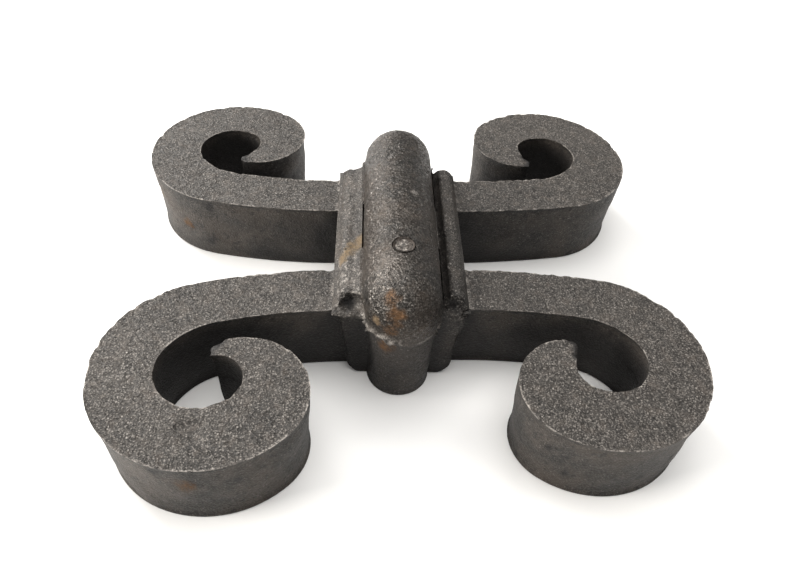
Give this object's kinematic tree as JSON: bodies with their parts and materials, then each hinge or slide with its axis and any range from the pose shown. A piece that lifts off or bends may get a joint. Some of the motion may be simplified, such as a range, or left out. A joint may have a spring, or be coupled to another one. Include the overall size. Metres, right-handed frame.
{
  "type": "door hinge",
  "caption": "Ornamental cast-iron hinge: two leaves of paired scroll arms joined by a moulded hub with a round, dome-ended barrel and a hidden pin.",
  "frame": {"origin": "middle of the footprint, on the flat back that lies against the door and frame", "axes": "+Z out of the back towards the barrel, +Y along the barrel towards its plugged rear end, +X across towards the right (swinging) leaf"},
  "size_m": [0.1096, 0.1012, 0.027],
  "materials": {
    "left_casting": "sand-cast, dark grey, coarse sparkling grain with light rust",
    "right_casting": "sand-cast, dark grey, coarse sparkling grain",
    "pin_steel": "drawn steel rod",
    "rivet_iron": "hammered and dressed flush",
    "bush_brass": "turned",
    "washer_brass": "punched and flattened"
  },
  "bodies": {
    "fixed_leaf": {"left_leaf": "left_casting", "hinge_pin": "pin_steel", "pin_lock_rivet": "rivet_iron", "rear_bore_plug": "rivet_iron", "front_thrust_washer": "washer_brass", "rear_thrust_washer": "washer_brass"},
    "swing_leaf": {"right_leaf": "right_casting", "knuckle_bush": "bush_brass"}
  },
  "joints": [
    {"name": "leaf_swing", "type": "hinge", "parent": "fixed_leaf", "child": "swing_leaf", "pos_m": [0.00054, 0.00155, 0.0195], "axis": [0, -1, 0], "range_deg": [0, 175]}
  ]
}
